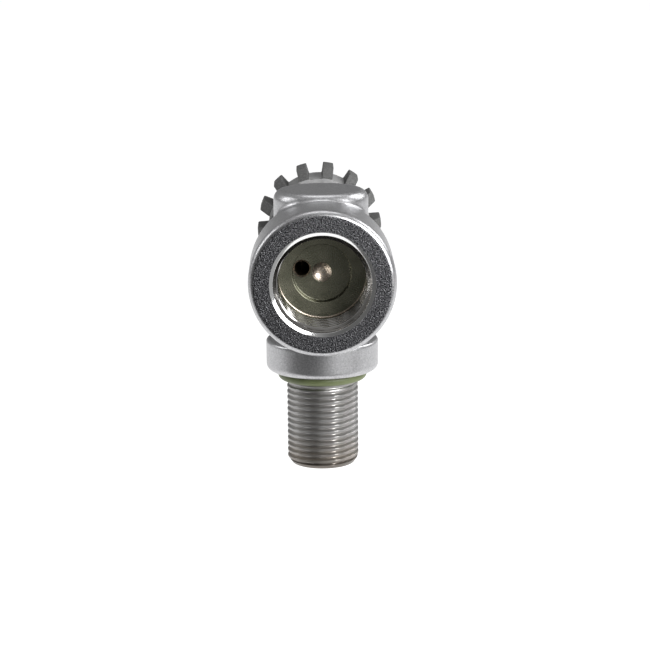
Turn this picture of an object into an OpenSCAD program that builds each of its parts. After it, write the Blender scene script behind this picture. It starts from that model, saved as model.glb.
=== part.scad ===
// In-line cylinder valve with a G5/8 outlet, an M18 x 1.5 neck and a ribbed handwheel.
// Origin: on the neck axis, in the plane of the underside of the collar.
// The outlet faces -Y, the handwheel is at +Y, and the neck points down.

/* [Outlet] */
// Height of the outlet and handwheel axis above the collar underside
outlet_z = 26.2; // [25.8:0.1:28]
// Distance from the neck axis to the outlet face
face_reach = 25.5; // [24.5:0.1:28]
// Radius of the outlet boss
boss_r = 17.7; // [17.2:0.1:19]
// Radius of the threaded outlet bore, at its thread crests
socket_r = 10.55; // [10.4:0.05:10.6]
// Depth from the outlet face to the flat sealing floor
socket_depth = 14.5; // [14:0.1:15]

/* [Column and neck] */
// Radius of the upright column
column_r = 11.7; // [11.5:0.1:12.5]
// Height of the column above the collar underside
column_h = 45.35; // [44.5:0.05:48]
// Radius of the collar that seats on the cylinder
collar_r = 14.0; // [13.5:0.1:15]
// Height of the collar
collar_h = 7.8; // [7:0.1:8]
// Outer radius of the neck thread
neck_r = 8.93; // [8.86:0.01:8.98]
// Length of the neck below the collar
neck_len = 24.1; // [22:0.1:28]

/* [Rear and handwheel] */
// Distance from the neck axis to the rear end of the body
rear_reach = 36; // [36:0.5:38]
// Radius of the rear boss
rear_r = 12.0; // [11.5:0.1:12.5]
// Outer radius over the handwheel ribs
wheel_r = 17.1; // [16.5:0.1:18]
// Radius of the handwheel between the ribs
wheel_root_r = 14; // [13.6:0.1:14.2]
// Number of handwheel ribs
rib_count = 14; // [12:1:16]
// Width of one rib
rib_w = 2.85; // [2.2:0.05:3]
// Length of the ribbed grip along the axis
grip_len = 14; // [13:0.5:15]

/* [Motion] */
// Turns of the handwheel from closed to fully open
open_turns = 2.5; // [2:0.25:2.5]
// Pitch of the seat plug thread
plug_pitch = 1.0; // [0.75:0.25:1]

/* [Hidden] */
$fn = 96;
eps = 0.01;
arc_steps = 6;

// running clearance of a turning or sliding fit, on the radius
run_gap = 0.05;

// outlet: face rounding, mouth chamfer, relief, recess, centre mark and port
face_round_r = 1.4;
face_round_y = 2.1;
mouth_r = 12.57;
mouth_inner_r = 11.68;
mouth_chamfer = 0.9;
thread_start = 2.0;
relief_r = 11.08;
relief_len = 1.6;
recess_r = 7.1;
recess_depth = 1.8;
centre_mark_r = 2.4;
centre_mark_depth = 1.6;
port_r = 1.83;
port_x = -4.82;
port_z = 0.92;
port_mouth_r = 2.15;
port_mouth_depth = 0.35;
face_y = -face_reach;
floor_y = face_y + socket_depth;
recess_y = floor_y + recess_depth;

// boss, column and collar rounding
boss_back_y = -7.5;
boss_blend = 6.0;
column_round = 2.5;
collar_round_r = 1.36;
collar_round_z = 1.9;
collar_top_round = 0.6;
neck_chamfer_r = 1.05;
neck_chamfer_z = 1.5;
rear_chamfer = 0.8;

// gas path: dip tube socket, inlet bore, crown and its orifice
dip_socket_r = 4.5;
dip_socket_len = 8;
inlet_r = 3.0;
inlet_top_z = 13;
riser_r = 2.0;
crown_r = 2.8;
crown_y = 14;
crown_height = 2;
orifice_r = 1.75;
chamber_r = 7.0;
chamber_y = crown_y - crown_height;
chamber_end_y = 27.5;
bonnet_bore_r = 10.0;

// seat plug and the soft seat pressed into its nose
seat_gap = 0.02;
plug_gap = 0.35;
plug_r = chamber_r - run_gap;
plug_y = crown_y + plug_gap;
plug_end_y = 23.4;
insert_r = 3.6;
insert_y = crown_y + seat_gap;
insert_end_y = 15.9;
drive_socket_af = 5.2;
drive_socket_y = 17.4;
plug_travel = open_turns * plug_pitch;

// stem: square tang, thrust flange, shaft, wheel square and threaded end
tang_af = 5.0;
tang_y = drive_socket_y + plug_travel + 0.2;
flange_y = 28.0;
flange_end_y = 29.95;
flange_r = 7.8;
shaft_r = 4.0;
shaft_end_y = 46.4;
square_af = 5.6;
square_end_y = 57;
stud_r = 2.45;
stud_end_y = 63.6;
groove_r = 2.55;
groove_front_y = 34.0;
groove_rear_y = 38.6;
groove_len = 1.6;
backup_len = 0.8;
stem_ring_r = (shaft_r - groove_r) / 2;

// bonnet nut: sleeve in the body, hexagon and neck
sleeve_y = 27.6;
sleeve_gap = 0.03;
sleeve_r = bonnet_bore_r - sleeve_gap;
cavity_r = 8.0;
shoulder_y = 31;
washer_y = 30;
hex_af = 22;
hex_len = 6;
hex_end_y = rear_reach + hex_len;
hex_crown = 0.9;
bonnet_neck_r = 7.0;
bonnet_neck_end_y = 45.4;
bonnet_ring_r = 0.64;
bonnet_ring_y = rear_reach - 0.9;
bonnet_groove_r = 8.7;
bonnet_groove_len = 1.4;
slip_ring_end_y = 46.2;

// handwheel: core, drive insert, spring, washer, nut and cap
core_y = 46.4;
core_end_y = 64.6;
core_r = 12.6;
skirt_round = 0.8;
grip_end_y = 64.6;
grip_y = grip_end_y - grip_len;
rib_full_y = grip_y + 5;
rib_front_r = 14.5;
rib_rear_round = 0.7;
rib_turn = 9;
web_y = 49;
web_end_y = 57;
front_recess_r = 5.2;
drive_insert_r = 5.5;
rear_recess_r = 7.5;
washer_front_y = 60;
spring_in_r = 2.9;
spring_out_r = 6.3;
spring_sheet = 0.55;
spring_rim_gap = 0.01;
spring_mid_y = (web_end_y + washer_front_y) / 2;
washer_len = 1;
washer_r = 6.5;
nut_af = 8;
nut_len = 2.4;
nut_y = washer_front_y + washer_len;
cap_r = 10.5;
cap_len = 1.3;
cap_edge_r = 1.0;
cap_edge_y = 0.6;
cap_crown = 0.3;
cap_seat = 0.6;
cap_y = core_end_y - cap_seat;

// neck seal, on a plain shank between the collar and the thread
seal_shank_r = 8.75;
seal_shank_len = 2.8;
neck_ring_r = 1.2;

// points of an elliptical arc about [cx, cy], from angle a0 to a1
function arc(cx, cy, rx, ry, a0, a1, steps = arc_steps) =
    [for (i = [0:steps]) let (a = a0 + (a1 - a0) * i / steps)
        [cx + rx * cos(a), cy + ry * sin(a)]];

// solid of revolution about the outlet axis, from [radius, y] points
module turned_y(points) {
    translate([0, 0, outlet_z])
        rotate([-90, 0, 0])
            rotate_extrude() polygon(points);
}

// plain cylinder along the outlet axis, from y0 to y1
module rod_y(r, y0, y1, x = 0, z = 0) {
    translate([x, y0, outlet_z + z])
        rotate([-90, 0, 0]) cylinder(r = r, h = y1 - y0);
}

// hollow cylinder along the outlet axis
module tube_y(r_out, r_in, y0, y1) {
    turned_y([[r_in, y0], [r_out, y0], [r_out, y1], [r_in, y1]]);
}

// square bar along the outlet axis, with its flats across X and Z
module square_y(af, y0, y1) {
    translate([-af / 2, y0, outlet_z - af / 2]) cube([af, y1 - y0, af]);
}

// hexagon along the outlet axis, with flats to the left and right
module hex_y(af, y0, y1) {
    translate([0, y0, outlet_z])
        rotate([-90, 0, 0]) rotate([0, 0, 90])
            cylinder(r = af / 2 / cos(30), h = y1 - y0, $fn = 6);
}

// round-section ring about the outlet axis
module ring_y(centre_r, section_r, y) {
    translate([0, y, outlet_z])
        rotate([-90, 0, 0])
            rotate_extrude() translate([centre_r, 0]) circle(r = section_r, $fn = 32);
}

module column_and_collar() {
    rotate_extrude()
        polygon(concat(
            [[0, 0]],
            arc(collar_r - collar_round_r, collar_round_z,
                collar_round_r, collar_round_z, -90, 0),
            arc(collar_r - collar_top_round, collar_h - collar_top_round,
                collar_top_round, collar_top_round, 0, 90, 3),
            [[column_r, collar_h]],
            arc(column_r - column_round, column_h - column_round,
                column_round, column_round, 0, 90),
            [[0, column_h]]));
}

module neck() {
    translate([0, 0, -seal_shank_len - eps])
        cylinder(r = seal_shank_r, h = seal_shank_len + 2 * eps);
    translate([0, 0, -neck_len + neck_chamfer_z])
        cylinder(r = neck_r, h = neck_len - neck_chamfer_z - seal_shank_len);
    translate([0, 0, -neck_len])
        cylinder(r1 = neck_r - neck_chamfer_r, r2 = neck_r, h = neck_chamfer_z);
}

module outlet_boss() {
    turned_y(concat(
        [[0, face_y]],
        arc(boss_r - face_round_r, face_y + face_round_y,
            face_round_r, face_round_y, -90, 0),
        arc(boss_r - boss_blend, boss_back_y, boss_blend, boss_blend, 0, 75),
        [[0, boss_back_y + boss_blend]]));
}

module rear_boss() {
    turned_y([[0, boss_back_y], [rear_r, boss_back_y],
              [rear_r, rear_reach - rear_chamfer],
              [rear_r - rear_chamfer, rear_reach], [0, rear_reach]]);
}

module outlet_socket() {
    turned_y([[0, face_y - eps], [mouth_r, face_y - eps],
              [mouth_inner_r, face_y + mouth_chamfer],
              [socket_r, face_y + thread_start], [0, face_y + thread_start]]);
    rod_y(socket_r, face_y + thread_start - eps, floor_y - relief_len + eps);
    rod_y(relief_r, floor_y - relief_len, floor_y);
    rod_y(recess_r, floor_y - eps, recess_y);
    turned_y([[0, recess_y - eps], [centre_mark_r, recess_y - eps],
              [0, recess_y + centre_mark_depth]]);
}

module outlet_port() {
    rod_y(port_r, recess_y - eps, chamber_y + eps, port_x, port_z);
    translate([port_x, recess_y - eps, outlet_z + port_z])
        rotate([-90, 0, 0])
            cylinder(r1 = port_mouth_r, r2 = port_r, h = port_mouth_depth);
}

module seat_chamber() {
    difference() {
        rod_y(chamber_r, chamber_y, chamber_end_y + eps);
        turned_y([[0, chamber_y - eps], [crown_r + 0.5, chamber_y - eps],
                  [crown_r, chamber_y + 1.2], [crown_r, crown_y - 0.3],
                  [crown_r - 0.3, crown_y], [0, crown_y]]);
    }
    rod_y(bonnet_bore_r, chamber_end_y, rear_reach + eps);
    rod_y(orifice_r, 0, crown_y + eps);
}

module inlet_bore() {
    translate([0, 0, -neck_len - eps])
        cylinder(r = dip_socket_r, h = dip_socket_len + eps);
    translate([0, 0, -neck_len + dip_socket_len - eps])
        cylinder(r = inlet_r, h = neck_len - dip_socket_len + inlet_top_z);
    translate([0, 0, inlet_top_z - 2 * eps])
        cylinder(r = riser_r, h = outlet_z - inlet_top_z);
}

module valve_body() {
    color("silver")
        difference() {
            union() {
                column_and_collar();
                neck();
                outlet_boss();
                rear_boss();
            }
            outlet_socket();
            outlet_port();
            seat_chamber();
            inlet_bore();
        }
}

module neck_o_ring() {
    color("darkolivegreen")
        translate([0, 0, -neck_ring_r])
            rotate_extrude()
                translate([seal_shank_r + neck_ring_r, 0])
                    circle(r = neck_ring_r, $fn = 32);
}

module seat_plug() {
    color("darkkhaki")
        difference() {
            turned_y([[0, plug_y], [plug_r - 0.6, plug_y], [plug_r, plug_y + 0.6],
                      [plug_r, plug_end_y - 0.4], [plug_r - 0.4, plug_end_y],
                      [0, plug_end_y]]);
            rod_y(insert_r, plug_y - eps, insert_end_y);
            square_y(drive_socket_af, drive_socket_y, plug_end_y + eps);
        }
}

module seat_insert() {
    color("white")
        turned_y([[0, insert_y], [insert_r - 0.2, insert_y],
                  [insert_r, insert_y + 0.2], [insert_r, insert_end_y],
                  [0, insert_end_y]]);
}

module stem() {
    color("lightgray")
        union() {
            square_y(tang_af, tang_y, flange_y + eps);
            rod_y(flange_r, flange_y, flange_end_y);
            rod_y(shaft_r, flange_end_y - eps, groove_front_y);
            rod_y(groove_r, groove_front_y - eps,
                  groove_rear_y + groove_len + backup_len + eps);
            rod_y(shaft_r, groove_front_y + groove_len, groove_rear_y);
            rod_y(shaft_r, groove_rear_y + groove_len + backup_len, shaft_end_y);
            intersection() {
                square_y(square_af, shaft_end_y - eps, square_end_y);
                rod_y(shaft_r - 0.1, shaft_end_y - eps, square_end_y);
            }
            rod_y(stud_r, square_end_y - eps, stud_end_y);
        }
}

module thrust_washer() {
    color("ivory") tube_y(cavity_r - 0.1, shaft_r + 0.1, washer_y, shoulder_y);
}

module stem_o_ring_front() {
    color("darkolivegreen")
        ring_y(groove_r + stem_ring_r, stem_ring_r, groove_front_y + groove_len / 2);
}

module stem_o_ring_rear() {
    color("darkolivegreen")
        ring_y(groove_r + stem_ring_r, stem_ring_r, groove_rear_y + groove_len / 2);
}

module stem_backup_ring() {
    color("ivory")
        tube_y(shaft_r, groove_r, groove_rear_y + groove_len,
               groove_rear_y + groove_len + backup_len);
}

module bonnet_nut() {
    color("silver")
        difference() {
            union() {
                rod_y(sleeve_r, sleeve_y, rear_reach + eps);
                intersection() {
                    hex_y(hex_af, rear_reach, hex_end_y);
                    turned_y([[0, rear_reach - eps],
                              [hex_af / 2 + 1.8, rear_reach - eps],
                              [hex_af / 2 + 1.8, hex_end_y - hex_crown],
                              [hex_af / 2 - 0.4, hex_end_y], [0, hex_end_y]]);
                }
                rod_y(bonnet_neck_r, hex_end_y - eps, bonnet_neck_end_y);
            }
            rod_y(cavity_r, sleeve_y - eps, shoulder_y);
            rod_y(shaft_r + run_gap, shoulder_y - eps, bonnet_neck_end_y + eps);
            tube_y(sleeve_r + 1, bonnet_groove_r, bonnet_ring_y - bonnet_groove_len / 2,
                   bonnet_ring_y + bonnet_groove_len / 2);
        }
}

module bonnet_o_ring() {
    color("darkolivegreen")
        ring_y(bonnet_groove_r + bonnet_ring_r, bonnet_ring_r, bonnet_ring_y);
}

module wheel_slip_ring() {
    color("ivory")
        tube_y(bonnet_neck_r, shaft_r + 0.1, bonnet_neck_end_y, slip_ring_end_y);
}

module handwheel_core() {
    color("dimgray")
        difference() {
            turned_y(concat(
                [[0, core_y]],
                arc(core_r - skirt_round, core_y + skirt_round,
                    skirt_round, skirt_round, -90, 0, 4),
                [[core_r, core_end_y], [0, core_end_y]]));
            rod_y(front_recess_r, core_y - eps, web_y);
            rod_y(drive_insert_r, web_y - eps, web_end_y + eps);
            rod_y(rear_recess_r, web_end_y, cap_y + eps);
            rod_y(cap_r, cap_y, core_end_y + eps);
        }
}

// slab that one rib is cut from, standing up along +Z
module rib_slab() {
    translate([-rib_w / 2, grip_y - 1, core_r + 0.4])
        cube([rib_w, grip_len + 2, wheel_r - core_r + 1]);
}

// outer form of the grip: a front slope, a straight land and a small rear chamfer
module grip_form() {
    turned_y([[0, grip_y], [rib_front_r, grip_y], [wheel_r, rib_full_y],
              [wheel_r, grip_end_y - rib_rear_round],
              [wheel_r - rib_rear_round, grip_end_y], [0, grip_end_y]]);
}

module handwheel_grip() {
    color("gray")
        difference() {
            intersection() {
                grip_form();
                union() {
                    rod_y(wheel_root_r, grip_y - 2, grip_end_y + 2);
                    for (i = [0:rib_count - 1])
                        translate([0, 0, outlet_z])
                            rotate([0, rib_turn - i * 360 / rib_count, 0]) rib_slab();
                }
            }
            rod_y(core_r, grip_y - 3, grip_end_y + 3);
        }
}

module drive_insert() {
    color("darkkhaki")
        difference() {
            rod_y(drive_insert_r, web_y, web_end_y);
            square_y(square_af + 0.1, web_y - eps, web_end_y + eps);
        }
}

// pair of dished spring washers, set rim to rim
module wheel_spring() {
    color("lightsteelblue") {
        turned_y([[spring_in_r, web_end_y], [spring_in_r, web_end_y + spring_sheet],
                  [spring_out_r, spring_mid_y - spring_rim_gap],
                  [spring_out_r, spring_mid_y - spring_rim_gap - spring_sheet]]);
        turned_y([[spring_in_r, washer_front_y - spring_sheet],
                  [spring_in_r, washer_front_y],
                  [spring_out_r, spring_mid_y + spring_rim_gap + spring_sheet],
                  [spring_out_r, spring_mid_y + spring_rim_gap]]);
    }
}

module wheel_washer() {
    color("silver")
        tube_y(washer_r, stud_r + 0.15, washer_front_y, washer_front_y + washer_len);
}

module wheel_nut() {
    color("silver")
        difference() {
            hex_y(nut_af, nut_y, nut_y + nut_len);
            rod_y(stud_r, nut_y - eps, nut_y + nut_len + eps);
        }
}

module handwheel_cap() {
    color("dimgray")
        turned_y(concat(
            [[0, cap_y], [cap_r, cap_y]],
            arc(cap_r - cap_edge_r, cap_y + cap_len - cap_edge_y,
                cap_edge_r, cap_edge_y, 0, 90, 4),
            [[0, cap_y + cap_len + cap_crown]]));
}

valve_body();
neck_o_ring();
seat_plug();
seat_insert();
stem();
thrust_washer();
stem_o_ring_front();
stem_o_ring_rear();
stem_backup_ring();
bonnet_nut();
bonnet_o_ring();
wheel_slip_ring();
handwheel_core();
handwheel_grip();
drive_insert();
wheel_spring();
wheel_washer();
wheel_nut();
handwheel_cap();
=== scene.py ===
"""Looks of the in-line cylinder valve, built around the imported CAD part.

Shapes are written in millimetres in the part's own frame and turned into metres when a piece
is made. The outlet axis runs along Y at height OUTLET_Z, the neck axis is Z.
"""
import math

import bmesh
import bpy
import numpy as np
from mathutils import Matrix, Vector


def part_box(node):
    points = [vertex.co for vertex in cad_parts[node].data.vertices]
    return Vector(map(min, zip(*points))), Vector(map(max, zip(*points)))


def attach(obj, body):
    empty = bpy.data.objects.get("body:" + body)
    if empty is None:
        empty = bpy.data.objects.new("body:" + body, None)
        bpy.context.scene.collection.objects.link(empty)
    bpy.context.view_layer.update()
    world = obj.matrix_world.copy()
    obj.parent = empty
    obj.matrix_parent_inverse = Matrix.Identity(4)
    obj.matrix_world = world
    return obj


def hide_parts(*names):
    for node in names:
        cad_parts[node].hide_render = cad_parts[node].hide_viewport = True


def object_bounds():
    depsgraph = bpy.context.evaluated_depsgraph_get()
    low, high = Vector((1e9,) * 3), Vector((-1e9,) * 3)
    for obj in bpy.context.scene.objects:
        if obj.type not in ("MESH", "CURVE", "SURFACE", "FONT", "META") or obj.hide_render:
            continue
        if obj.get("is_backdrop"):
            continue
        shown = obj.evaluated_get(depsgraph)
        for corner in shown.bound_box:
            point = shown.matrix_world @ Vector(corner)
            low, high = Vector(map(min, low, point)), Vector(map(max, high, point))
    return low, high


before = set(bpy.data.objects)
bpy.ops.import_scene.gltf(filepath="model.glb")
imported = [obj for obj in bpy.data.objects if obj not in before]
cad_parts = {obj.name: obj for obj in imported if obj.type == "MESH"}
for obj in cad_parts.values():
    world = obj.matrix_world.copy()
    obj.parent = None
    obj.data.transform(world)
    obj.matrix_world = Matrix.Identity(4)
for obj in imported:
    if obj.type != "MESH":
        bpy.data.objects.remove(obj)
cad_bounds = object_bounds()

MM = 0.001
TURN = 2 * math.pi


def corner(node, high):
    """Lowest or highest corner of a CAD node, in millimetres."""
    return [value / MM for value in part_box(node)[1 if high else 0]]


BODY_LOW, BODY_HIGH = corner("valve_body", False), corner("valve_body", True)
NUT_LOW, NUT_HIGH = corner("bonnet_nut", False), corner("bonnet_nut", True)
GRIP_LOW, GRIP_HIGH = corner("handwheel_grip", False), corner("handwheel_grip", True)
CORE_LOW, CORE_HIGH = corner("handwheel_core", False), corner("handwheel_core", True)
CAP_LOW, CAP_HIGH = corner("handwheel_cap", False), corner("handwheel_cap", True)
SEAL_LOW, SEAL_HIGH = corner("neck_o_ring", False), corner("neck_o_ring", True)

OUTLET_Z = (CORE_LOW[2] + CORE_HIGH[2]) / 2
FACE_Y = BODY_LOW[1]
REAR_Y = BODY_HIGH[1]
COLUMN_TOP = BODY_HIGH[2]
NECK_END = BODY_LOW[2]
BOSS_R = BODY_HIGH[0]
COLUMN_R = 11.7
REAR_R = 12.0
COLLAR_R = 14.0
COLLAR_TOP = 7.8
FILLET = 1.6
SKIN_VOXEL = 0.34

NECK_R = 8.93
NECK_ROOT_R = 8.15
NECK_PITCH = 1.5
SHANK_R = 8.75
SHANK_END = SEAL_LOW[2] - 0.15

FACE_EDGE_R = BOSS_R - 1.15
MOUTH_R = 12.57
MOUTH_INNER_R = 11.68
SOCKET_CREST_R = 10.62
SOCKET_ROOT_R = 11.30
SOCKET_PITCH = 1.814
THREAD_IN_Y = FACE_Y + 0.9
THREAD_OUT_Y = FACE_Y + 12.9
RELIEF_R = 11.08
FLOOR_Y = FACE_Y + 14.5
RECESS_R = 7.1
RECESS_Y = FLOOR_Y + 1.8
MARK_R = 2.4
PORT_R = 1.83
PORT_X, PORT_Z = -4.82, OUTLET_Z + 0.92

NOZZLE_R, NOZZLE_Y = 2.8, 14.0
CHAMBER_R, CHAMBER_Y = 7.0, 12.0
GLAND_BORE_R, GLAND_BORE_Y = 10.0, 27.5
ORIFICE_R = 1.75
INLET_R, INLET_MOUTH_R, INLET_DEPTH = 4.5, 4.9, 8.0
RISER_R, RISER_END = 3.0, 13.0
GAS_WAY_R = 2.0


# ---------------------------------------------------------------- outlines and meshes

def arc(cx, cy, rx, ry, start, end, steps=8):
    """Points of an elliptical arc, angles in degrees."""
    angles = np.radians(np.linspace(start, end, steps + 1))
    return [(cx + rx * math.cos(a), cy + ry * math.sin(a)) for a in angles]


def rounded(corners, steps=5):
    """Outline through corners (u, v) or (u, v, radius), with arcs where a radius is given."""
    points = []
    for i, here in enumerate(corners):
        if len(here) == 2:
            points.append(tuple(here))
            continue
        centre = np.array(here[:2], float)
        back = np.array(corners[i - 1][:2], float) - centre
        ahead = np.array(corners[(i + 1) % len(corners)][:2], float) - centre
        back /= np.linalg.norm(back)
        ahead /= np.linalg.norm(ahead)
        half = math.acos(float(np.clip(back @ ahead, -1, 1))) / 2
        pivot = centre + (back + ahead) / np.linalg.norm(back + ahead) * here[2] / math.sin(half)
        first = centre + back * here[2] / math.tan(half) - pivot
        last = centre + ahead * here[2] / math.tan(half) - pivot
        sweep = math.pi - 2 * half
        for k in range(steps + 1):
            share = k / steps
            mixed = (math.sin((1 - share) * sweep) * first + math.sin(share * sweep) * last)
            points.append(tuple(pivot + mixed / math.sin(sweep)))
    return points


def stretch(u, v0, v1, step):
    """Points at radius u from v0 to v1, about step apart."""
    count = max(1, round(abs(v1 - v0) / step))
    return [(u, v0 + (v1 - v0) * i / count) for i in range(count + 1)]


def along_y(x, y, z):
    """Turns (across, along, up) about the outlet axis into place."""
    return x, y, OUTLET_Z + z


def along_z(x, z, y):
    """Turns (across, along, deep) about the neck axis into place."""
    return x, y, z


def turned(profile, place, sides=160, ring=False, shape=None):
    """Vertices and faces of a turned form. shape(radius, along, angles) may bend each ring."""
    angles = np.arange(sides) * TURN / sides
    verts, rows = [], []
    for radius, along in profile:
        if radius == 0:
            rows.append([len(verts)] * sides)
            verts.append(place(0, along, 0))
            continue
        radii = np.full(sides, float(radius))
        if shape:
            radii = shape(radii, along, angles)
        rows.append(list(range(len(verts), len(verts) + sides)))
        verts += [place(r * math.cos(a), along, r * math.sin(a)) for r, a in zip(radii, angles)]
    if ring:
        rows.append(rows[0])
    faces = []
    for low, high in zip(rows, rows[1:]):
        for k in range(sides):
            m = (k + 1) % sides
            quad = list(dict.fromkeys([low[k], low[m], high[m], high[k]]))
            if len(quad) > 2:
                faces.append(quad)
    return verts, faces


def blank(name, verts, faces):
    """Object in millimetres, with its faces turned outward."""
    mesh = bpy.data.meshes.new(name)
    mesh.from_pydata(verts, [], faces)
    form = bmesh.new()
    form.from_mesh(mesh)
    bmesh.ops.recalc_face_normals(form, faces=form.faces)
    form.to_mesh(mesh)
    form.free()
    obj = bpy.data.objects.new(name, mesh)
    bpy.context.scene.collection.objects.link(obj)
    return obj


def apply_modifiers(obj):
    """Makes what the modifiers give the object's own mesh."""
    evaluated = obj.evaluated_get(bpy.context.evaluated_depsgraph_get())
    mesh = bpy.data.meshes.new_from_object(evaluated)
    obj.modifiers.clear()
    old = obj.data
    obj.data = mesh
    bpy.data.meshes.remove(old)


def combine(obj, tool, operation):
    """Adds or cuts a tool object and removes it."""
    modifier = obj.modifiers.new("combine", "BOOLEAN")
    modifier.operation = operation
    modifier.solver = "MANIFOLD"
    modifier.object = tool
    apply_modifiers(obj)
    bpy.data.objects.remove(tool)


def finish_piece(obj, body, nodes, materials, region=None, sharp=38):
    """Scales a piece to metres, gives it its materials, ties it to its body and hides the CAD nodes
    it stands for.
    """
    mesh = obj.data
    mesh.transform(Matrix.Scale(MM, 4))
    mesh.materials.clear()
    for material in materials:
        mesh.materials.append(material)
    if region:
        for face in mesh.polygons:
            face.material_index = region(face.center / MM)
    mesh.shade_smooth()
    mesh.set_sharp_from_angle(angle=math.radians(sharp))
    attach(obj, body)
    if nodes:
        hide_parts(*nodes)
    return obj


# ---------------------------------------------------------------- forged body

def column_outline():
    """Collar and column, as (radius, z)."""
    return rounded([(0, 0), (COLLAR_R, 0, 1.5), (COLLAR_R, COLLAR_TOP, 0.7),
                    (COLUMN_R, COLLAR_TOP, 0.8), (COLUMN_R, COLUMN_TOP, 2.5),
                    (0, COLUMN_TOP)], 8)


def boss_outline():
    """Outlet boss and rear boss, as (radius, y)."""
    back = arc(BOSS_R - 6, -7.5, 6, 6, 0, 75, 14)
    front = arc(BOSS_R - 1.4, FACE_Y + 2.1, 1.4, 2.1, -90, 0, 12)
    rear = rounded([back[-1], (REAR_R, -1.35, 1.0), (REAR_R, REAR_Y, 0.8), (0, REAR_Y)], 6)
    return [(0, FACE_Y)] + front + back[:-1] + rear


def outline_distance(u, v, outline):
    """Signed distance in the half plane (u, v) to a closed outline, negative inside."""
    points = np.array(outline)
    best = np.full(u.shape, np.inf)
    inside = np.zeros(u.shape, bool)
    for a, b in zip(points, np.roll(points, -1, axis=0)):
        if a[0] == 0 and b[0] == 0:
            continue
        edge = b - a
        share = ((u - a[0]) * edge[0] + (v - a[1]) * edge[1]) / (edge @ edge)
        share = np.clip(share, 0, 1)
        gap = np.hypot(u - a[0] - share * edge[0], v - a[1] - share * edge[1])
        best = np.minimum(best, gap)
        if a[1] != b[1]:
            crossing = (a[1] > v) != (b[1] > v)
            inside ^= crossing & (u < edge[0] * (v - a[1]) / edge[1] + a[0])
    return np.where(inside, -best, best)


def turned_distance(points, outline, vertical):
    """Distance to a turned form and the outward direction, for many points at once."""
    x, y, z = points.T
    across, along = (np.hypot(x, y), z) if vertical else (np.hypot(x, z - OUTLET_Z), y)
    nudge = 0.02
    here = outline_distance(across, along, outline)
    slope_u = outline_distance(across + nudge, along, outline) - here
    slope_v = outline_distance(across, along + nudge, outline) - here
    size = np.maximum(np.hypot(slope_u, slope_v), 1e-9)
    slope_u, slope_v = slope_u / size, slope_v / size
    safe = np.maximum(across, 1e-6)
    if vertical:
        direction = np.stack([slope_u * x / safe, slope_u * y / safe, slope_v], 1)
    else:
        direction = np.stack([slope_u * x / safe, slope_v, slope_u * (z - OUTLET_Z) / safe], 1)
    return here, direction


def forging_distance(points):
    """Distance to column and bosses, run together with a fillet, and the outward direction."""
    column, column_out = turned_distance(points, column_outline(), True)
    boss, boss_out = turned_distance(points, boss_outline(), False)
    facing = np.clip(1 - np.sum(column_out * boss_out, axis=1), 0, 1)
    fillet = FILLET * facing + 1e-6
    mix = np.clip(1 - np.abs(column - boss) / fillet, 0, 1)
    distance = np.minimum(column, boss) - mix * mix * fillet / 4
    share = np.where(column < boss, mix / 2, 1 - mix / 2)[:, None]
    direction = column_out * (1 - share) + boss_out * share
    size = np.maximum(np.linalg.norm(direction, axis=1), 1e-9)
    return distance, direction / size[:, None]


def forging():
    """Outer skin of the body without its neck: an even mesh pulled onto the filleted form."""
    column = turned(column_outline(), along_z, 128)
    boss = turned(boss_outline(), along_y, 160)
    shift = len(column[0])
    verts = column[0] + boss[0]
    faces = column[1] + [[i + shift for i in face] for face in boss[1]]
    skin = blank("forging", verts, faces)
    remesh = skin.modifiers.new("even", "REMESH")
    remesh.mode = "VOXEL"
    remesh.voxel_size = SKIN_VOXEL
    apply_modifiers(skin)
    points = np.empty(len(skin.data.vertices) * 3)
    skin.data.vertices.foreach_get("co", points)
    points = points.reshape(-1, 3)
    for _ in range(3):
        distance, direction = forging_distance(points)
        points -= np.clip(distance, -1, 1)[:, None] * direction
    skin.data.vertices.foreach_set("co", points.ravel())
    skin.data.update()
    return skin


def thread_wave(phase):
    """Height of a thread flank from 0 in the root to 1 on the crest, with both rounded off."""
    height = 1 - np.abs(2 * (phase % 1.0) - 1)
    height = np.clip((height - 0.08) / 0.60, 0, 1)
    return height * height * (3 - 2 * height) * 0.35 + height * 0.65


def neck_shape(radii, along, angles):
    """Right-hand M18 thread with a run-out under the seal and a chamfered end."""
    wave = thread_wave(along / NECK_PITCH - angles / TURN)
    thread = NECK_ROOT_R + (NECK_R - NECK_ROOT_R) * wave
    runout = np.clip((along - SHANK_END + 1.6) / 1.2, 0, 1)
    radii = thread * (1 - runout) + SHANK_R * runout
    chamfer = NECK_R - 1.05 + 0.7 * (along - NECK_END)
    return np.minimum(radii, chamfer)


def neck():
    """Threaded neck with its plain shank."""
    profile = [(0, NECK_END)] + stretch(NECK_R, NECK_END, SHANK_END + 0.1, NECK_PITCH / 16)
    profile += [(SHANK_R, 1.0), (0, 1.0)]
    return blank("neck", *turned(profile, along_z, 144, shape=neck_shape))


def socket_shape(radii, along, angles):
    """Right-hand G5/8 thread, opened by the mouth cone and run out before the relief."""
    if not THREAD_IN_Y <= along <= THREAD_OUT_Y:
        return radii
    wave = thread_wave(along / SOCKET_PITCH + angles / TURN + 0.5)
    thread = SOCKET_ROOT_R - (SOCKET_ROOT_R - SOCKET_CREST_R) * wave
    cone = MOUTH_INNER_R - (along - THREAD_IN_Y)
    thread = np.maximum(thread, cone)
    runout = np.clip((along - THREAD_OUT_Y + 1.1) / 1.0, 0, 1)
    return thread * (1 - runout) + RELIEF_R * runout


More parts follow.
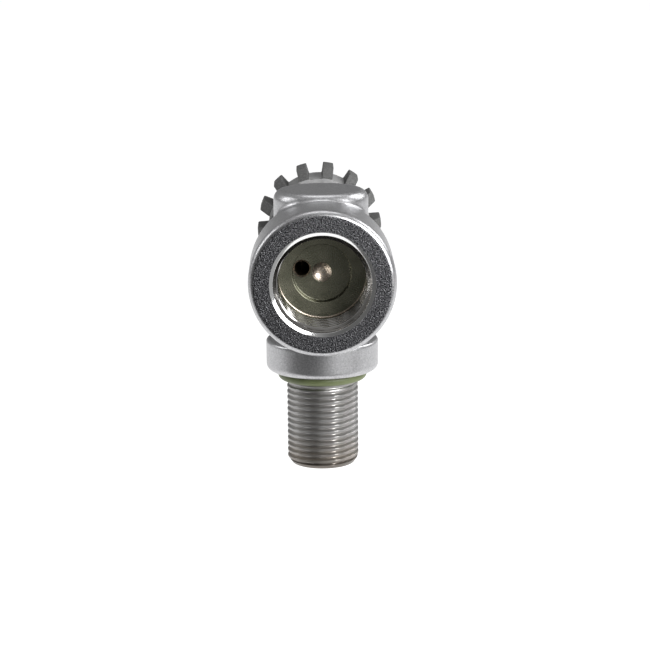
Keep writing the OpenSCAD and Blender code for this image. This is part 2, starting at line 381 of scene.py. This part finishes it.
def socket_cutter():
    """Everything cut from the outlet face: mouth, thread, relief, floor, recess and mark."""
    lip = rounded([(MOUTH_R + 1, FACE_Y), (MOUTH_R, FACE_Y, 0.3),
                   (MOUTH_INNER_R, FACE_Y + 0.42, 0.3), (MOUTH_INNER_R, THREAD_IN_Y)], 6)[1:-1]
    profile = [(0, FACE_Y - 1), (lip[0][0] + 0.02, FACE_Y - 1)] + lip
    profile += stretch(MOUTH_INNER_R, THREAD_IN_Y, THREAD_OUT_Y, SOCKET_PITCH / 18)
    profile += rounded([(RELIEF_R, THREAD_OUT_Y), (RELIEF_R, FLOOR_Y, 0.35),
                        (RECESS_R, FLOOR_Y, 0.25), (RECESS_R, RECESS_Y, 0.2),
                        (MARK_R, RECESS_Y, 0.15), (0, RECESS_Y + 1.6)], 4)[1:]
    return blank("socket", *turned(profile, along_y, 192, shape=socket_shape))


def port_cutter():
    """Off-centre gas port, with a small countersink in the recess floor."""
    profile = [(0, RECESS_Y - 0.5), (PORT_R + 0.45, RECESS_Y - 0.1),
               (PORT_R, RECESS_Y + 0.35), (PORT_R, CHAMBER_Y + 0.2), (0, CHAMBER_Y + 0.2)]

    def place(across, along, up):
        return PORT_X + across, along, PORT_Z + up
    return blank("port", *turned(profile, place, 64))


def chamber_cutter():
    """Seat chamber round its raised nozzle, and the bore of the gland nut behind it."""
    profile = rounded([(NOZZLE_R, CHAMBER_Y), (CHAMBER_R, CHAMBER_Y, 0.5),
                       (CHAMBER_R, GLAND_BORE_Y), (GLAND_BORE_R, GLAND_BORE_Y),
                       (GLAND_BORE_R, REAR_Y, 0.3), (GLAND_BORE_R + 1, REAR_Y + 0.5),
                       (0, REAR_Y + 1), (0, NOZZLE_Y), (NOZZLE_R, NOZZLE_Y)], 4)
    return blank("chamber", *turned(profile, along_y, 96, True))


def orifice_cutter():
    profile = [(0, 0), (ORIFICE_R, 0), (ORIFICE_R, NOZZLE_Y + 1), (0, NOZZLE_Y + 1)]
    return blank("orifice", *turned(profile, along_y, 64))


def inlet_cutter():
    """Dip tube socket in the neck's end, and the way up to the orifice."""
    top = NECK_END + INLET_DEPTH
    profile = rounded([(0, NECK_END - 1), (INLET_MOUTH_R, NECK_END - 1), (INLET_MOUTH_R, NECK_END),
                       (INLET_R, NECK_END + 0.4), (INLET_R, top), (RISER_R, top + 0.8),
                       (RISER_R, RISER_END), (GAS_WAY_R, RISER_END + 0.6),
                       (GAS_WAY_R, OUTLET_Z), (0, OUTLET_Z)])
    return blank("inlet", *turned(profile, along_z, 96))


def valve_body():
    """Forged body with its neck, outlet and gas path."""
    body = forging()
    combine(body, neck(), "UNION")
    for cutter in (socket_cutter, port_cutter, chamber_cutter, orifice_cutter, inlet_cutter):
        combine(body, cutter(), "DIFFERENCE")
    body.name = "body_forging"
    return finish_piece(body, "body", ["valve_body"],
                        [satin_chrome(), blasted_chrome(), polished_chrome(), bore_chrome(),
                         floor_metal(), thread_chrome(), rim_brass_highlight(), shade_dark_brass()],
                        body_region, 32)


def body_region(centre):
    """Which finish a face of the body has."""
    satin, blasted, polished, bore, floor, thread, rim, inner = range(8)
    x, y, z = centre
    from_outlet = math.hypot(x, z - OUTLET_Z)
    # Faces inside the gas path: painted shade in near-black brass, with painted highlights at the
    # port's edge and centre mark.
    if RECESS_Y + 0.02 < y < REAR_Y - 0.1 and from_outlet < REAR_R - 1.9:
        near_port = math.hypot(x - PORT_X, z - PORT_Z) < PORT_R + 0.6 and y < RECESS_Y + 0.34
        # The port's countersink and the centre mark take the lighter brass as painted highlights;
        # the rest of the gas path takes near-black brass as painted shade.
        return rim if near_port or from_outlet < MARK_R and y < RECESS_Y + 2 else inner
    if from_outlet < MOUTH_R + 0.1 and y < FLOOR_Y + 6:
        if y < THREAD_IN_Y:
            return polished
        if y < THREAD_OUT_Y - 0.2:
            return bore
        # The ring at the floor's edge takes the lighter brass, a painted highlight.
        return rim if from_outlet > RELIEF_R - 0.32 and y > FLOOR_Y - 0.5 else floor
    if y < FACE_Y + 0.2:
        return blasted
    if z < 0.02 and math.hypot(x, y) < NECK_R + 0.3:
        return thread
    return satin


# ---------------------------------------------------------------- seal and gland nut

def neck_seal():
    """Green O-ring with its fine moulding line."""
    section_r = (SEAL_HIGH[2] - SEAL_LOW[2]) / 2
    centre_r = SEAL_HIGH[0] - section_r
    middle = (SEAL_HIGH[2] + SEAL_LOW[2]) / 2
    profile = []
    for u, v in arc(0, 0, section_r, section_r, 0, 348, 29):
        line = 0.03 if u > section_r - 0.03 else 0
        profile.append((centre_r + u - line, middle + v))
    seal = blank("neck_seal", *turned(profile, along_z, 144, ring=True))
    return finish_piece(seal, "body", ["neck_o_ring"], [seal_rubber()], sharp=60)


HEX_LEN = 6.0
HEX_CROWN = 30
HEX_SIDE_EASE = 0.3
SLEEVE_R = 9.97
NUT_NECK_R = 7.0
NUT_CAVITY_R, NUT_CAVITY_END = 8.0, 31.0
STEM_BORE_R = 4.05


def hexagon_bar(flats, low, high):
    """Six-sided bar along the outlet axis, flats left and right, with eased edges."""
    corner_r = flats / 2 / math.cos(TURN / 12)
    corners = []
    for k in range(6):
        angle = TURN * (k + 0.5) / 6
        corners.append((corner_r * math.cos(angle), corner_r * math.sin(angle), 0.5))
    outline = rounded(corners, 4)
    verts = [along_y(x, low, z) for x, z in outline] + [along_y(x, high, z) for x, z in outline]
    count = len(outline)
    faces = [list(range(count)), list(range(2 * count - 1, count - 1, -1))]
    faces += [[k, (k + 1) % count, count + (k + 1) % count, count + k] for k in range(count)]
    return blank("gland_nut_body", verts, faces)


def hexagon_crown(flats, low, high):
    """Turned form that takes the corners off both ends of the hexagon."""
    start_r = flats / 2 - HEX_SIDE_EASE
    wide = flats / 2 + 3
    rise = (wide - start_r) * math.tan(math.radians(HEX_CROWN))
    profile = [(0, low), (start_r, low), (wide, low + rise), (wide, high - rise),
               (start_r, high), (0, high)]
    return blank("crown", *turned(profile, along_y, 160))


def nut_sleeve():
    """Sleeve that goes into the body, and the neck behind the hexagon."""
    front, rear, step = NUT_LOW[1], NUT_HIGH[1], REAR_Y + 1
    profile = rounded([(0, front), (SLEEVE_R, front, 0.4), (SLEEVE_R, step),
                       (NUT_NECK_R, step), (NUT_NECK_R, rear, 0.5), (0, rear)], 5)
    return blank("sleeve", *turned(profile, along_y, 160))


def nut_bore():
    """Cavity for the stem's flange, then the stem's bore with an eased mouth."""
    front, rear = NUT_LOW[1], NUT_HIGH[1]
    profile = rounded([(0, front - 1), (NUT_CAVITY_R, front - 1),
                       (NUT_CAVITY_R, NUT_CAVITY_END, 0.4), (STEM_BORE_R, NUT_CAVITY_END),
                       (STEM_BORE_R, rear - 0.3), (STEM_BORE_R + 0.3, rear),
                       (STEM_BORE_R + 0.3, rear + 1), (0, rear + 1)], 4)
    return blank("bore", *turned(profile, along_y, 128))


def gland_nut():
    """Hexagon gland nut with its sleeve in the body and its neck behind."""
    flats = NUT_HIGH[0] - NUT_LOW[0]
    hex_end = REAR_Y + HEX_LEN
    nut = hexagon_bar(flats, REAR_Y - 0.01, hex_end + 0.01)
    combine(nut, hexagon_crown(flats, REAR_Y, hex_end), "INTERSECT")
    combine(nut, nut_sleeve(), "UNION")
    combine(nut, nut_bore(), "DIFFERENCE")
    return finish_piece(nut, "body", ["bonnet_nut"], [nut_chrome()], sharp=24)


# ---------------------------------------------------------------- handwheel

RIBS = 14
RIB_TURN = 9
RIB_W = 2.85
GRIP_ROOT_R = 14.0
GRIP_R = 17.1
GRIP_FRONT_R = 14.5
GRIP_FRONT_LEN = 5.0


def rib_section():
    """Cross-section of the grip as (radius, angle): ribs with parallel sides and soft corners."""
    step = TURN / RIBS
    half_root = math.asin(RIB_W / 2 / GRIP_ROOT_R)
    foot = (GRIP_ROOT_R * math.cos(half_root), RIB_W / 2)
    crown = (math.sqrt(GRIP_R ** 2 - (RIB_W / 2) ** 2), RIB_W / 2)
    between = step / 2
    valley = (GRIP_ROOT_R * math.cos(between), GRIP_ROOT_R * math.sin(between))
    corners = [(valley[0], -valley[1]), (foot[0], -foot[1], 0.35), (crown[0], -crown[1], 0.32),
               (GRIP_R, 0), (crown[0], crown[1], 0.32), (foot[0], foot[1], 0.35),
               (valley[0], valley[1])]
    outline = rounded(corners, 5)
    dense = []
    for here, ahead in zip(outline, outline[1:]):
        count = max(1, round(math.dist(here, ahead) / 0.45))
        for i in range(count):
            u = here[0] + (ahead[0] - here[0]) * i / count
            v = here[1] + (ahead[1] - here[1]) * i / count
            dense.append((u, v))
    section = []
    for rib in range(RIBS):
        middle = math.radians(90 - RIB_TURN) + rib * step
        for u, v in dense:
            section.append((max(math.hypot(u, v), GRIP_ROOT_R), middle + math.atan2(v, u)))
    return section


def grip_limit(along):
    """Largest radius of the grip at a place along the axis: sloped front, rounded rear."""
    front = along - GRIP_LOW[1]
    rear = GRIP_HIGH[1] - along
    limit = GRIP_FRONT_R + (GRIP_R - GRIP_FRONT_R) * min(front / GRIP_FRONT_LEN, 1)
    soft = 0.6
    if front < soft:
        limit -= soft - math.sqrt(soft ** 2 - (soft - front) ** 2)
    if rear < soft:
        limit -= soft - math.sqrt(soft ** 2 - (soft - rear) ** 2)
    return limit


def grip():
    """Rubber grip: the ribbed section carried along the axis and trimmed to its limit."""
    section = rib_section()
    inner = CORE_HIGH[0]
    low, high = GRIP_LOW[1], GRIP_HIGH[1]
    places = [low, low + 0.07, low + 0.2, low + 0.4, low + 0.6]
    places += [low + 1.0 + 0.5 * i for i in range(8)]
    places += [low + GRIP_FRONT_LEN, low + GRIP_FRONT_LEN + 0.25]
    places += [value for _, value in stretch(0, low + 6, high - 1.2, 1.5)]
    places += [high - 0.6, high - 0.4, high - 0.2, high - 0.07, high]
    verts = []
    for along in places:
        limit = grip_limit(along)
        for radius, angle in section:
            near = smooth_min(radius, limit, 0.35)
            verts.append(along_y(near * math.cos(angle), along, near * math.sin(angle)))
    for along in (high, low):
        for _, angle in section:
            verts.append(along_y(inner * math.cos(angle), along, inner * math.sin(angle)))
    rows, count = len(places) + 2, len(section)
    faces = []
    for row in range(rows):
        above = (row + 1) % rows
        for k in range(count):
            m = (k + 1) % count
            faces.append([row * count + k, row * count + m, above * count + m, above * count + k])
    piece = blank("grip_ribbed", verts, faces)
    return finish_piece(piece, "spindle", ["handwheel_grip"],
                        [grip_rubber(), root_rubber()], grip_region, 50)


def grip_region(centre):
    """Ribs are coarse and dark; the smooth ground between them is lighter."""
    ribs, root = range(2)
    return root if math.hypot(centre[0], centre[2] - OUTLET_Z) < GRIP_ROOT_R + 0.12 else ribs


def smooth_min(a, b, soft):
    """Smaller of two lengths, with the change between them eased."""
    mix = max(soft - abs(a - b), 0) / soft
    return min(a, b) - mix * mix * soft / 4


WEB_Y, WEB_END = 49, 57
INSERT_R = 5.5
STEM_RECESS_R = 5.2
HUB_R, HUB_SET_BACK = 7.4, 1.2
NUT_RECESS_R = 7.5
CAP_SEAT_R, CAP_SEAT_DEPTH = 10.55, 0.75


def wheel_core():
    """Moulded wheel body under the grip: a stepped front, a web and a seat for the cap."""
    outer = CORE_HIGH[0]
    front, rear = CORE_LOW[1], CORE_HIGH[1]
    step, seat = front + HUB_SET_BACK, rear - CAP_SEAT_DEPTH
    profile = rounded([(INSERT_R, WEB_END), (INSERT_R, WEB_Y), (STEM_RECESS_R, WEB_Y, 0.2),
                       (STEM_RECESS_R, step, 0.3), (HUB_R, step, 0.3), (HUB_R, front, 0.3),
                       (outer, front, 0.8), (outer, rear, 0.3), (CAP_SEAT_R, rear, 0.15),
                       (CAP_SEAT_R, seat, 0.1), (NUT_RECESS_R, seat, 0.3),
                       (NUT_RECESS_R, WEB_END, 0.4)], 4)
    core = blank("wheel_core", *turned(profile, along_y, 144, ring=True))
    return finish_piece(core, "spindle", ["handwheel_core"], [wheel_plastic()],
                        sharp=40)


CAP_RIM_W, CAP_GROOVE_W, CAP_GROOVE_DEPTH = 1.6, 0.9, 0.45
DIMPLE_R, DIMPLE_FLOOR_R = 4.0, 2.4


def wheel_cap():
    """Rear cap: a shallow dome with a moulded groove and a centre dimple."""
    low, high = CAP_LOW[1], CAP_HIGH[1]
    edge, rim, groove = CAP_HIGH[0], high - 0.1, high - CAP_GROOVE_DEPTH
    out = edge - CAP_RIM_W
    inside = out - CAP_GROOVE_W
    profile = rounded([(0, low), (edge, low, 0.1), (edge, rim, 0.35), (out, rim, 0.15),
                       (out - 0.1, groove, 0.1), (inside + 0.1, groove, 0.1),
                       (inside, rim, 0.15), (DIMPLE_R, high, 0.3),
                       (DIMPLE_FLOOR_R, groove, 0.5), (0, high - 0.6)], 5)
    cap = blank("wheel_cap", *turned(profile, along_y, 128))
    return finish_piece(cap, "spindle", ["handwheel_cap"], [cap_plastic()],
                        sharp=35)


# ---------------------------------------------------------------- inner turned pieces

def carried_nodes():
    """CAD pieces whose shape is right get their material on their own slots."""
    finishes = {"thrust_washer": slip_plastic, "wheel_slip_ring": slip_plastic,
                "stem": stem_steel, "stem_backup_ring": slip_plastic,
                "stem_o_ring_front": black_rubber, "stem_o_ring_rear": black_rubber,
                "bonnet_o_ring": black_rubber, "drive_insert": bare_brass,
                "wheel_spring": stem_steel, "wheel_washer": stem_steel, "wheel_nut": stem_steel,
                "seat_plug": bare_brass, "seat_insert": seat_nylon}
    for name, make in finishes.items():
        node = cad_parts[name]
        material = make()
        for slot in node.material_slots:
            slot.link = "OBJECT"
            slot.material = material


# ---------------------------------------------------------------- materials

def add(material, kind, settings=None, **inputs):
    """Adds a shader node; inputs are numbers, colours or another node's output."""
    node = material.node_tree.nodes.new("ShaderNode" + kind)
    for name, value in (settings or {}).items():
        setattr(node, name, value)
    for name, value in inputs.items():
        socket = node.inputs[int(name[1:])] if name[1:].isdigit() else node.inputs[name]
        if isinstance(value, bpy.types.NodeSocket):
            material.node_tree.links.new(value, socket)
        else:
            socket.default_value = value
    return node


def surface(name, **sockets):
    """New material and its Principled shader, with plain values set on the shader."""
    material = bpy.data.materials.new(name)
    material.use_nodes = True
    shader = material.node_tree.nodes["Principled BSDF"]
    for key, value in sockets.items():
        shader.inputs[key.replace("_", " ")].default_value = value
    return material, shader


def link(material, output, shader, socket):
    material.node_tree.links.new(output, shader.inputs[socket])


def place_mm(material):
    """Point on the object in millimetres."""
    coordinates = add(material, "TexCoord").outputs["Object"]
    scaled = add(material, "VectorMath", {"operation": "SCALE"}, _0=coordinates, _3=1 / MM)
    return scaled.outputs[0]


def noise(material, where, size, detail=3.0):
    """Noise from 0 to 1 with features of about size millimetres."""
    return add(material, "TexNoise", None, Vector=where, Scale=1 / size,
               Detail=detail).outputs["Fac"]


def ranged(material, value, low, high, start=0.3, end=0.7):
    """Number from low to high as value goes from start to end."""
    node = add(material, "MapRange", None, Value=value)
    for name, number in (("From Min", start), ("From Max", end), ("To Min", low), ("To Max", high)):
        node.inputs[name].default_value = number
    return node.outputs["Result"]


def tinted(material, value, colours, places=(0.3, 0.7)):
    """Colour ramp over a value."""
    node = add(material, "ValToRGB", None, Fac=value)
    ramp = node.color_ramp
    while len(ramp.elements) < len(colours):
        ramp.elements.new(0.5)
    for element, place, colour in zip(ramp.elements, places, colours):
        element.position = place
        element.color = (*colour, 1)
    return node.outputs["Color"]


def bump(material, shader, height, depth, strength=1.0, under=None):
    """Bump of depth millimetres on the shader, over an earlier bump if given."""
    node = add(material, "Bump", None, Height=height, Strength=strength, Distance=depth * MM)
    if under:
        material.node_tree.links.new(under.outputs["Normal"], node.inputs["Normal"])
    link(material, node.outputs["Normal"], shader, "Normal")
    return node


def from_axis(material, where, centre, keep):
    """Distance in millimetres from an axis through centre; keep masks the axes that count."""
    shifted = add(material, "VectorMath", {"operation": "SUBTRACT"}, _0=where, _1=centre)
    flat = add(material, "VectorMath", {"operation": "MULTIPLY"}, _0=shifted.outputs[0], _1=keep)
    length = add(material, "VectorMath", {"operation": "LENGTH"}, _0=flat.outputs[0])
    return length.outputs["Value"]


def from_outlet_axis(material, where):
    return from_axis(material, where, (0, 0, OUTLET_Z), (1, 0, 1))


def metal(name, dark, light, smooth, rough, grain, depth, blotch=3.0):
    """Metal with a fine grain: colour drifts over blotch, roughness and bump over grain."""
    material, shader = surface(name, Metallic=1.0)
    where = place_mm(material)
    link(material, tinted(material, noise(material, where, blotch), (dark, light)),
         shader, "Base Color")
    fine = noise(material, where, grain, 2.0)
    link(material, ranged(material, fine, smooth, rough), shader, "Roughness")
    return material, shader, where, bump(material, shader, fine, depth)


SATIN_DARK = (0.36, 0.36, 0.37)
SATIN_LIGHT = (0.56, 0.56, 0.57)
SATIN_GRAIN = 0.35


def satin_chrome(name="chrome_satin"):
    material, shader, where, fine = metal(name, SATIN_DARK, SATIN_LIGHT,
                                          0.29, 0.42, 0.20, 0.018, SATIN_GRAIN)
    bump(material, shader, noise(material, where, 2.2, 1.0), 0.02, 0.5, fine)
    return material


def blasted_chrome():
    """Coarsely blasted and plated face: its base colour is painted near-black as a dark reflection,
    with lighter flecks painted on its dimples as sparks beside their real bump.

    It turns into the body's satin finish at the edge of the face.
    """
    material, shader = surface("chrome_blasted_painted_dark", Metallic=1.0)
    where = place_mm(material)
    pits = noise(material, where, 0.30, 2.0)
    radius = from_outlet_axis(material, where)
    inside = ranged(material, radius, 1, 0, FACE_EDGE_R - 0.08, FACE_EDGE_R + 0.08)
    grain = noise(material, where, SATIN_GRAIN)
    plated = tinted(material, grain, (SATIN_DARK, SATIN_LIGHT))
    # Painted dark reflection: near-black base colour, with lighter painted flecks as sparks on the
    # pits.
    dark = tinted(material, pits, ((0.022, 0.022, 0.026), (0.26, 0.26, 0.27)), (0.41, 0.66))
    mixed = add(material, "MixRGB", None, Fac=inside, Color1=plated, Color2=dark)
    link(material, mixed.outputs["Color"], shader, "Base Color")
    link(material, ranged(material, pits, 0.24, 0.36), shader, "Roughness")
    coarse = bump(material, shader, pits, 0.12, inside)
    bump(material, shader, noise(material, where, 0.2, 1.0), 0.04, inside, coarse)
    return material


def polished_chrome():
    """Smooth edge round the outlet's mouth."""
    return metal("chrome_polished", (0.74, 0.74, 0.74), (0.82, 0.82, 0.81),
                 0.09, 0.12, 0.3, 0.002)[0]


def nut_chrome():
    """The nut has the body's finish, under a name of its own."""
    return satin_chrome("chrome_nut")


def bore_chrome():
    """Plated thread inside the outlet, with painted shade: darker and a little warmer towards its
    roots.
    """
    material, shader = surface("chrome_bore", Metallic=1.0)
    where = place_mm(material)
    depth = from_outlet_axis(material, where)
    # Painted shade: the colour darkens and warms from the crests into the thread roots.
    root_shade = ranged(material, depth, 0, 1, SOCKET_CREST_R, SOCKET_ROOT_R)
    link(material, tinted(material, root_shade, ((0.42, 0.41, 0.40), (0.29, 0.28, 0.265)), (0, 1)),
         shader, "Base Color")
    fine = noise(material, where, 0.3, 2.0)
    link(material, ranged(material, fine, 0.09, 0.11), shader, "Roughness")
    bump(material, shader, fine, 0.003)
    return material


def floor_metal():
    """Turned floor of the outlet: olive-brown metal with concentric tool marks."""
    material, shader = surface("floor_turned", Metallic=1.0)
    where = place_mm(material)
    depth = from_outlet_axis(material, where)
    drift = noise(material, where, 4.0)
    link(material, tinted(material, drift, ((0.145, 0.145, 0.105), (0.23, 0.225, 0.17))),
         shader, "Base Color")
    fine = noise(material, where, 0.25, 2.0)
    link(material, ranged(material, fine, 0.22, 0.36), shader, "Roughness")
    ring = add(material, "Math", {"operation": "SINE"},
               _0=add(material, "Math", {"operation": "MULTIPLY"}, _0=depth, _1=12.0).outputs[0])
    marks = bump(material, shader, ring.outputs[0], 0.003, 0.6)
    bump(material, shader, fine, 0.004, 1.0, marks)
    return material


def thread_chrome():
    """Neck thread with painted light and shade by thread depth, lighter in the roots and darker on
    the crests; darker and browner towards the open end.
    """
    material, shader = surface("chrome_thread", Metallic=1.0)
    where = place_mm(material)
    height = from_axis(material, where, (0, 0, 0), (1, 1, 0))
    # Painted light and shade: base colour by depth in the thread, lighter in the roots, darker on
    # the crests.
    root = ranged(material, height, 0, 1, NECK_ROOT_R, NECK_R - 0.1)
    painted_depth_tone = tinted(material, root, ((0.48, 0.47, 0.46), (0.42, 0.41, 0.40), (0.36, 0.355, 0.35)),
                   (0.0, 0.35, 0.9))
    # Colour multiplied darker and browner over the last millimetres towards the open end of the
    # neck.
    along = add(material, "SeparateXYZ", None, Vector=where).outputs["Z"]
    rise = ranged(material, along, 0, 1, NECK_END, NECK_END + 9)
    end_darkening = tinted(material, rise, ((0.36, 0.33, 0.30), (0.88, 0.83, 0.77), (1, 1, 1)),
                   (0.10, 0.22, 1.0))
    mixed = add(material, "MixRGB", {"blend_type": "MULTIPLY"}, Fac=1.0, Color1=painted_depth_tone,
                Color2=end_darkening)
    link(material, mixed.outputs["Color"], shader, "Base Color")
    fine = noise(material, where, 0.3, 2.0)
    link(material, ranged(material, fine, 0.32, 0.44), shader, "Roughness")
    bump(material, shader, fine, 0.004)
    return material


def bare_brass():
    return metal("brass_bare", (0.60, 0.44, 0.20), (0.76, 0.58, 0.30), 0.2, 0.34, 0.3, 0.006)[0]


def rim_brass_highlight():
    """Coppery metal, lighter than the floor, on the edge of the outlet's floor, round the port and
    on the centre mark: painted highlights on these edges.
    """
    return metal("brass_rim_painted_highlight", (0.52, 0.44, 0.36), (0.64, 0.56, 0.47), 0.24, 0.34, 0.3, 0.004)[0]


def shade_dark_brass():
    """Gas path inside the body: brass painted near-black as shade."""
    return metal("brass_inner_painted_shade", (0.050, 0.042, 0.028), (0.085, 0.070, 0.045),
                 0.45, 0.6, 0.3, 0.01)[0]


def stem_steel():
    return metal("steel_stem", (0.46, 0.46, 0.47), (0.58, 0.58, 0.58), 0.2, 0.34, 0.3, 0.006)[0]


def matter(name, dark, light, smooth, rough, grain, depth, blotch=3.0, **sockets):
    """Rubber or plastic with a fine texture and slightly uneven colour."""
    material, shader = surface(name, **sockets)
    where = place_mm(material)
    link(material, tinted(material, noise(material, where, blotch), (dark, light)),
         shader, "Base Color")
    fine = noise(material, where, grain, 3.0)
    link(material, ranged(material, fine, smooth, rough), shader, "Roughness")
    bump(material, shader, fine, depth)
    return material


def seal_rubber():
    return matter("rubber_green", (0.105, 0.128, 0.052), (0.135, 0.160, 0.070),
                  0.38, 0.55, 0.3, 0.006)


def black_rubber():
    return matter("rubber_black", (0.012, 0.012, 0.012), (0.025, 0.025, 0.025),
                  0.35, 0.5, 0.3, 0.004)


def grip_rubber():
    return matter("rubber_grip", (0.048, 0.048, 0.048), (0.110, 0.110, 0.108),
                  0.55, 0.8, 0.30, 0.06, 0.40)


def root_rubber():
    return matter("rubber_root", (0.24, 0.24, 0.24), (0.31, 0.31, 0.31),
                  0.38, 0.5, 0.3, 0.008)


def wheel_plastic():
    return matter("plastic_wheel", (0.110, 0.110, 0.113), (0.150, 0.150, 0.153),
                  0.38, 0.52, 0.3, 0.01)


def cap_plastic():
    return matter("plastic_cap", (0.030, 0.030, 0.032), (0.048, 0.048, 0.050),
                  0.36, 0.5, 0.3, 0.012)


def slip_plastic():
    return matter("plastic_slip", (0.62, 0.60, 0.55), (0.70, 0.68, 0.63), 0.3, 0.42, 0.5, 0.004)


def seat_nylon():
    return matter("nylon_seat", (0.70, 0.68, 0.60), (0.78, 0.76, 0.69), 0.3, 0.45, 0.5, 0.004)


# ---------------------------------------------------------------- studio and camera

FLOOR_DROP = 120
FLOOR_R = 3000
FLOOR_FRONT = -150


def studio_floor():
    """Pale floor, well under the part, which hangs clear of it; it ends in front of the part."""
    level = NECK_END - FLOOR_DROP
    middle = FLOOR_FRONT + FLOOR_R

    def place(across, along, deep):
        return across, middle + deep, along
    profile = [(0, level), (FLOOR_R, level), (FLOOR_R, level - 2), (0, level - 2)]
    floor = blank("studio_floor", *turned(profile, place, 192))
    floor.data.transform(Matrix.Scale(MM, 4))
    material, shader = surface("floor_pale", Roughness=0.9, Emission_Strength=0.9)
    shader.inputs["Emission Color"].default_value = (1, 1, 1, 1)
    where = place_mm(material)
    drift = noise(material, where, 300.0)
    link(material, tinted(material, drift, ((0.30, 0.30, 0.30), (0.32, 0.32, 0.32))),
         shader, "Base Color")
    floor.data.materials.append(material)
    floor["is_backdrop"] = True


def softbox(name, place, size, power):
    """Rectangular area light aimed at the middle of the part; places in metres."""
    light = bpy.data.lights.new(name, "AREA")
    light.shape = "RECTANGLE"
    light.size, light.size_y = size
    light.energy = power
    lamp = bpy.data.objects.new(name, light)
    lamp.location = place
    towards = Vector((0, 0.01, OUTLET_Z * MM)) - Vector(place)
    lamp.rotation_euler = towards.to_track_quat("-Z", "Y").to_euler()
    bpy.context.scene.collection.objects.link(lamp)


def studio_lights():
    """One large key light in front on the right, and three small fill lights."""
    softbox("front_right", (0.38, -0.44, 0.26), (0.50, 0.42), 6.0)
    softbox("left", (-0.60, 0.12, 0.35), (0.25, 0.40), 1.0)
    softbox("right_rear", (0.50, 0.30, 0.40), (0.25, 0.40), 1.8)
    softbox("top", (0.0, 0.25, 0.80), (0.45, 0.35), 1.0)


def world_math(tree, operation, *values):
    """Math node of the world's tree; values are numbers or outputs."""
    node = tree.nodes.new("ShaderNodeMath")
    node.operation = operation
    for socket, value in zip(node.inputs, values):
        if isinstance(value, bpy.types.NodeSocket):
            tree.links.new(value, socket)
        else:
            socket.default_value = value
    return node.outputs[0]


def world_step(tree, value, start, end, low, high):
    """Smooth change from low to high as value goes from start to end."""
    node = tree.nodes.new("ShaderNodeMapRange")
    node.interpolation_type = "SMOOTHSTEP"
    tree.links.new(value, node.inputs["Value"])
    for socket, number in zip(list(node.inputs)[1:5], (start, end, low, high)):
        socket.default_value = number
    return node.outputs["Result"]


def studio_world():
    """Soft surroundings for the metal: dark in front, grey straight behind, bright at the sides.

    The background itself is plain and pale.
    """
    world = bpy.data.worlds.new("studio")
    bpy.context.scene.world = world
    world.use_nodes = True
    tree = world.node_tree
    direction = tree.nodes.new("ShaderNodeTexCoord").outputs["Generated"]
    split = tree.nodes.new("ShaderNodeSeparateXYZ")
    tree.links.new(direction, split.inputs[0])
    sideways = world_math(tree, "ABSOLUTE", split.outputs["X"])
    sides = world_step(tree, sideways, 0.05, 0.35, 0.18, 0.30)
    dark = world_step(tree, split.outputs["X"], -0.20, 0.30, 0.13, 0.42)
    front = world_step(tree, split.outputs["Y"], -0.60, 0.10, 0.0, 1.0)
    over = world_step(tree, split.outputs["Z"], 0.45, 0.95, 0.0, 0.45)
    around = tree.nodes.new("ShaderNodeMix")
    for socket, value in zip((0, 2, 3), (front, dark, sides)):
        tree.links.new(value, around.inputs[socket])
    tone = world_math(tree, "MAXIMUM", around.outputs[0], over)
    seen = tree.nodes.new("ShaderNodeLightPath").outputs["Is Camera Ray"]
    shown = tree.nodes.new("ShaderNodeMix")
    tree.links.new(seen, shown.inputs[0])
    tree.links.new(tone, shown.inputs[2])
    shown.inputs[3].default_value = 1.0
    tree.links.new(shown.outputs[0], tree.nodes["Background"].inputs["Color"])
    bpy.context.scene.view_settings.view_transform = "Standard"


AIM = Vector((0.75, 0.0, 10.9)) * MM
DISTANCE = 0.5
TURNED = math.radians(-0.55)
TILT = math.radians(12.52)
ROLL = math.radians(0.52)
FOCAL_PX = 2000
FRAME_PX = 650


def camera():
    """Camera at the reference viewing angle, aimed at the middle of the view."""
    data = bpy.data.cameras.new("camera")
    data.sensor_width = 36
    data.lens = data.sensor_width * FOCAL_PX / FRAME_PX
    data.clip_start, data.clip_end = 0.01, 20
    cam = bpy.data.objects.new("camera", data)
    forward = Vector((-math.sin(TURNED) * math.cos(TILT), math.cos(TURNED) * math.cos(TILT),
                      -math.sin(TILT)))
    cam.location = AIM - DISTANCE * forward
    upright = forward.to_track_quat("-Z", "Y").to_matrix().to_4x4()
    cam.matrix_world = (Matrix.Translation(cam.location) @ upright
                        @ Matrix.Rotation(-ROLL, 4, "Z"))
    bpy.context.scene.collection.objects.link(cam)
    bpy.context.scene.camera = cam


camera()
studio_floor()
studio_world()
studio_lights()
valve_body()
neck_seal()
gland_nut()
grip()
wheel_core()
wheel_cap()
carried_nodes()

bpy.context.view_layer.update()
boxes = {"cad": cad_bounds, "visual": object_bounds()}
{name: [list(map(float, point)) for point in box] for name, box in boxes.items()}
